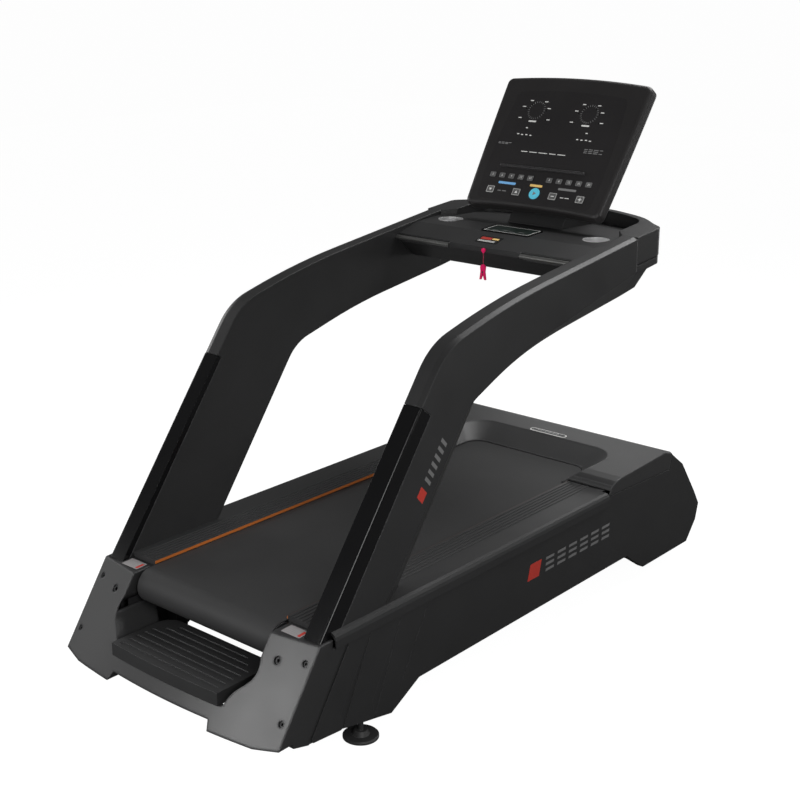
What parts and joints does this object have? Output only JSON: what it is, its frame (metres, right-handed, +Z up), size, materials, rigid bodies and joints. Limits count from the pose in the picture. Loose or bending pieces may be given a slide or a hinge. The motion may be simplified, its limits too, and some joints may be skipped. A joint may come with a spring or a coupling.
{
  "type": "treadmill",
  "caption": "Commercial treadmill with sweeping handrails, ribbed foot rails, a rear step, a ringed tray and a leaning key console.",
  "frame": {"origin": "on the floor, under the middle of the machine", "axes": "+X to the user's right, +Y forward from the step to the motor hood, +Z up"},
  "size_m": [0.93, 2.2542, 1.734],
  "materials": {
    "satin_black": "fine-grained satin",
    "hood_black": "satin",
    "gloss_black": "polished",
    "rail_black": "satin",
    "orange_trim": "coloured strip",
    "belt_rubber": "fine woven grain",
    "rubber": "moulded",
    "board": "waxed board",
    "frame_paint": "powder coat",
    "steel": "zinc plated",
    "roller_alloy": "turned",
    "cast": "as cast",
    "liner": "brushed",
    "console_black": "satin",
    "key_grey": "domed key",
    "key_cyan": "domed key",
    "clip_red": "moulded",
    "cord_red": "braided"
  },
  "bodies": {
    "chassis": {"cap_bolts": "frame_paint", "centre_pad": "gloss_black", "console_back": "console_black", "console_front": "console_black", "console_neck": "satin_black", "console_ring": "satin_black", "console_tray": "satin_black", "cup_liners": "liner", "deck_board": "board", "deck_cushions": "rubber", "drive_belt": "rubber", "drive_motor": "cast", "frame_crossmembers": "frame_paint", "frame_outriggers": "frame_paint", "frame_rails": "frame_paint", "front_cover": "satin_black", "grip_bars": "rubber", "left_arm_cover": "satin_black", "left_foot_rail": "rail_black", "left_side_cover": "satin_black", "left_upright_insert": "gloss_black", "lift_motor": "cast", "motor_controller": "frame_paint", "motor_hood": "hood_black", "rail_trims": "orange_trim", "rear_cap": "satin_black", "rear_step": "satin_black", "right_arm_cover": "satin_black", "right_foot_rail": "rail_black", "right_side_cover": "satin_black", "right_upright_insert": "gloss_black", "roller_bearings": "cast", "running_belt": "belt_rubber", "upright_tubes": "frame_paint"},
    "drive_roller_body": {"drive_roller": "roller_alloy"},
    "rear_roller_body": {"rear_roller": "roller_alloy"},
    "motor_shaft": {"motor_pulley": "steel"},
    "lift_body": {"lift_frame": "frame_paint"},
    "left_wheel_body": {"left_lift_wheel": "rubber"},
    "right_wheel_body": {"right_lift_wheel": "rubber"},
    "left_foot_body": {"left_levelling_foot": "steel"},
    "right_foot_body": {"right_levelling_foot": "steel"},
    "safety_tether": {"safety_key": "clip_red", "key_cord": "cord_red", "key_clip": "clip_red"},
    "incline_down_key_body": {"incline_down_key": "key_grey"},
    "incline_up_key_body": {"incline_up_key": "key_grey"},
    "quick_key_left_1_body": {"quick_key_left_1": "key_grey"},
    "quick_key_left_2_body": {"quick_key_left_2": "key_grey"},
    "quick_key_left_3_body": {"quick_key_left_3": "key_grey"},
    "quick_key_left_4_body": {"quick_key_left_4": "key_grey"},
    "quick_key_left_5_body": {"quick_key_left_5": "key_grey"},
    "quick_key_right_1_body": {"quick_key_right_1": "key_grey"},
    "quick_key_right_2_body": {"quick_key_right_2": "key_grey"},
    "quick_key_right_3_body": {"quick_key_right_3": "key_grey"},
    "quick_key_right_4_body": {"quick_key_right_4": "key_grey"},
    "quick_key_right_5_body": {"quick_key_right_5": "key_grey"},
    "speed_down_key_body": {"speed_down_key": "key_grey"},
    "speed_up_key_body": {"speed_up_key": "key_grey"},
    "start_key_body": {"start_key": "key_cyan"}
  },
  "joints": [
    {"name": "drive_roller_spin", "type": "hinge", "parent": "chassis", "child": "drive_roller_body", "pos_m": [0, 0.75, 0.343], "axis": [1, 0, 0], "continuous": true},
    {"name": "rear_roller_spin", "type": "hinge", "parent": "chassis", "child": "rear_roller_body", "pos_m": [0, -0.9, 0.343], "axis": [1, 0, 0], "continuous": true},
    {"name": "motor_shaft_spin", "type": "hinge", "parent": "chassis", "child": "motor_shaft", "pos_m": [-0.3, 0.89, 0.34], "axis": [1, 0, 0], "continuous": true},
    {"name": "incline", "type": "hinge", "parent": "chassis", "child": "lift_body", "pos_m": [0, 0.56, 0.24], "axis": [-1, 0, 0], "range_deg": [0, 40]},
    {"name": "left_wheel_spin", "type": "hinge", "parent": "lift_body", "child": "left_wheel_body", "pos_m": [-0.299, 0.89, 0.045], "axis": [1, 0, 0], "continuous": true},
    {"name": "right_wheel_spin", "type": "hinge", "parent": "lift_body", "child": "right_wheel_body", "pos_m": [0.299, 0.89, 0.045], "axis": [1, 0, 0], "continuous": true},
    {"name": "left_foot_level", "type": "slide", "parent": "chassis", "child": "left_foot_body", "axis": [0, 0, -1], "range_m": [0, 0.02]},
    {"name": "right_foot_level", "type": "slide", "parent": "chassis", "child": "right_foot_body", "axis": [0, 0, -1], "range_m": [0, 0.02]},
    {"name": "safety_key_pull", "type": "slide", "parent": "chassis", "child": "safety_tether", "axis": [0, -1, 0], "range_m": [0, 0.02]},
    {"name": "incline_down_key_press", "type": "slide", "parent": "chassis", "child": "incline_down_key_body", "axis": [0, 0.829, -0.5592], "range_m": [0, 0.001], "stiffness_N_per_m": 200},
    {"name": "incline_up_key_press", "type": "slide", "parent": "chassis", "child": "incline_up_key_body", "axis": [0, 0.829, -0.5592], "range_m": [0, 0.001], "stiffness_N_per_m": 200},
    {"name": "quick_key_left_1_press", "type": "slide", "parent": "chassis", "child": "quick_key_left_1_body", "axis": [0, 0.829, -0.5592], "range_m": [0, 0.001], "stiffness_N_per_m": 200},
    {"name": "quick_key_left_2_press", "type": "slide", "parent": "chassis", "child": "quick_key_left_2_body", "axis": [0, 0.829, -0.5592], "range_m": [0, 0.001], "stiffness_N_per_m": 200},
    {"name": "quick_key_left_3_press", "type": "slide", "parent": "chassis", "child": "quick_key_left_3_body", "axis": [0, 0.829, -0.5592], "range_m": [0, 0.001], "stiffness_N_per_m": 200},
    {"name": "quick_key_left_4_press", "type": "slide", "parent": "chassis", "child": "quick_key_left_4_body", "axis": [0, 0.829, -0.5592], "range_m": [0, 0.001], "stiffness_N_per_m": 200},
    {"name": "quick_key_left_5_press", "type": "slide", "parent": "chassis", "child": "quick_key_left_5_body", "axis": [0, 0.829, -0.5592], "range_m": [0, 0.001], "stiffness_N_per_m": 200},
    {"name": "quick_key_right_1_press", "type": "slide", "parent": "chassis", "child": "quick_key_right_1_body", "axis": [0, 0.829, -0.5592], "range_m": [0, 0.001], "stiffness_N_per_m": 200},
    {"name": "quick_key_right_2_press", "type": "slide", "parent": "chassis", "child": "quick_key_right_2_body", "axis": [0, 0.829, -0.5592], "range_m": [0, 0.001], "stiffness_N_per_m": 200},
    {"name": "quick_key_right_3_press", "type": "slide", "parent": "chassis", "child": "quick_key_right_3_body", "axis": [0, 0.829, -0.5592], "range_m": [0, 0.001], "stiffness_N_per_m": 200},
    {"name": "quick_key_right_4_press", "type": "slide", "parent": "chassis", "child": "quick_key_right_4_body", "axis": [0, 0.829, -0.5592], "range_m": [0, 0.001], "stiffness_N_per_m": 200},
    {"name": "quick_key_right_5_press", "type": "slide", "parent": "chassis", "child": "quick_key_right_5_body", "axis": [0, 0.829, -0.5592], "range_m": [0, 0.001], "stiffness_N_per_m": 200},
    {"name": "speed_down_key_press", "type": "slide", "parent": "chassis", "child": "speed_down_key_body", "axis": [0, 0.829, -0.5592], "range_m": [0, 0.001], "stiffness_N_per_m": 200},
    {"name": "speed_up_key_press", "type": "slide", "parent": "chassis", "child": "speed_up_key_body", "axis": [0, 0.829, -0.5592], "range_m": [0, 0.001], "stiffness_N_per_m": 200},
    {"name": "start_key_press", "type": "slide", "parent": "chassis", "child": "start_key_body", "axis": [0, 0.829, -0.5592], "range_m": [0, 0.001], "stiffness_N_per_m": 200}
  ],
  "couplings": [
    {"joint": "rear_roller_spin", "follows": "drive_roller_spin", "ratio": 1},
    {"joint": "motor_shaft_spin", "follows": "drive_roller_spin", "ratio": 2}
  ]
}
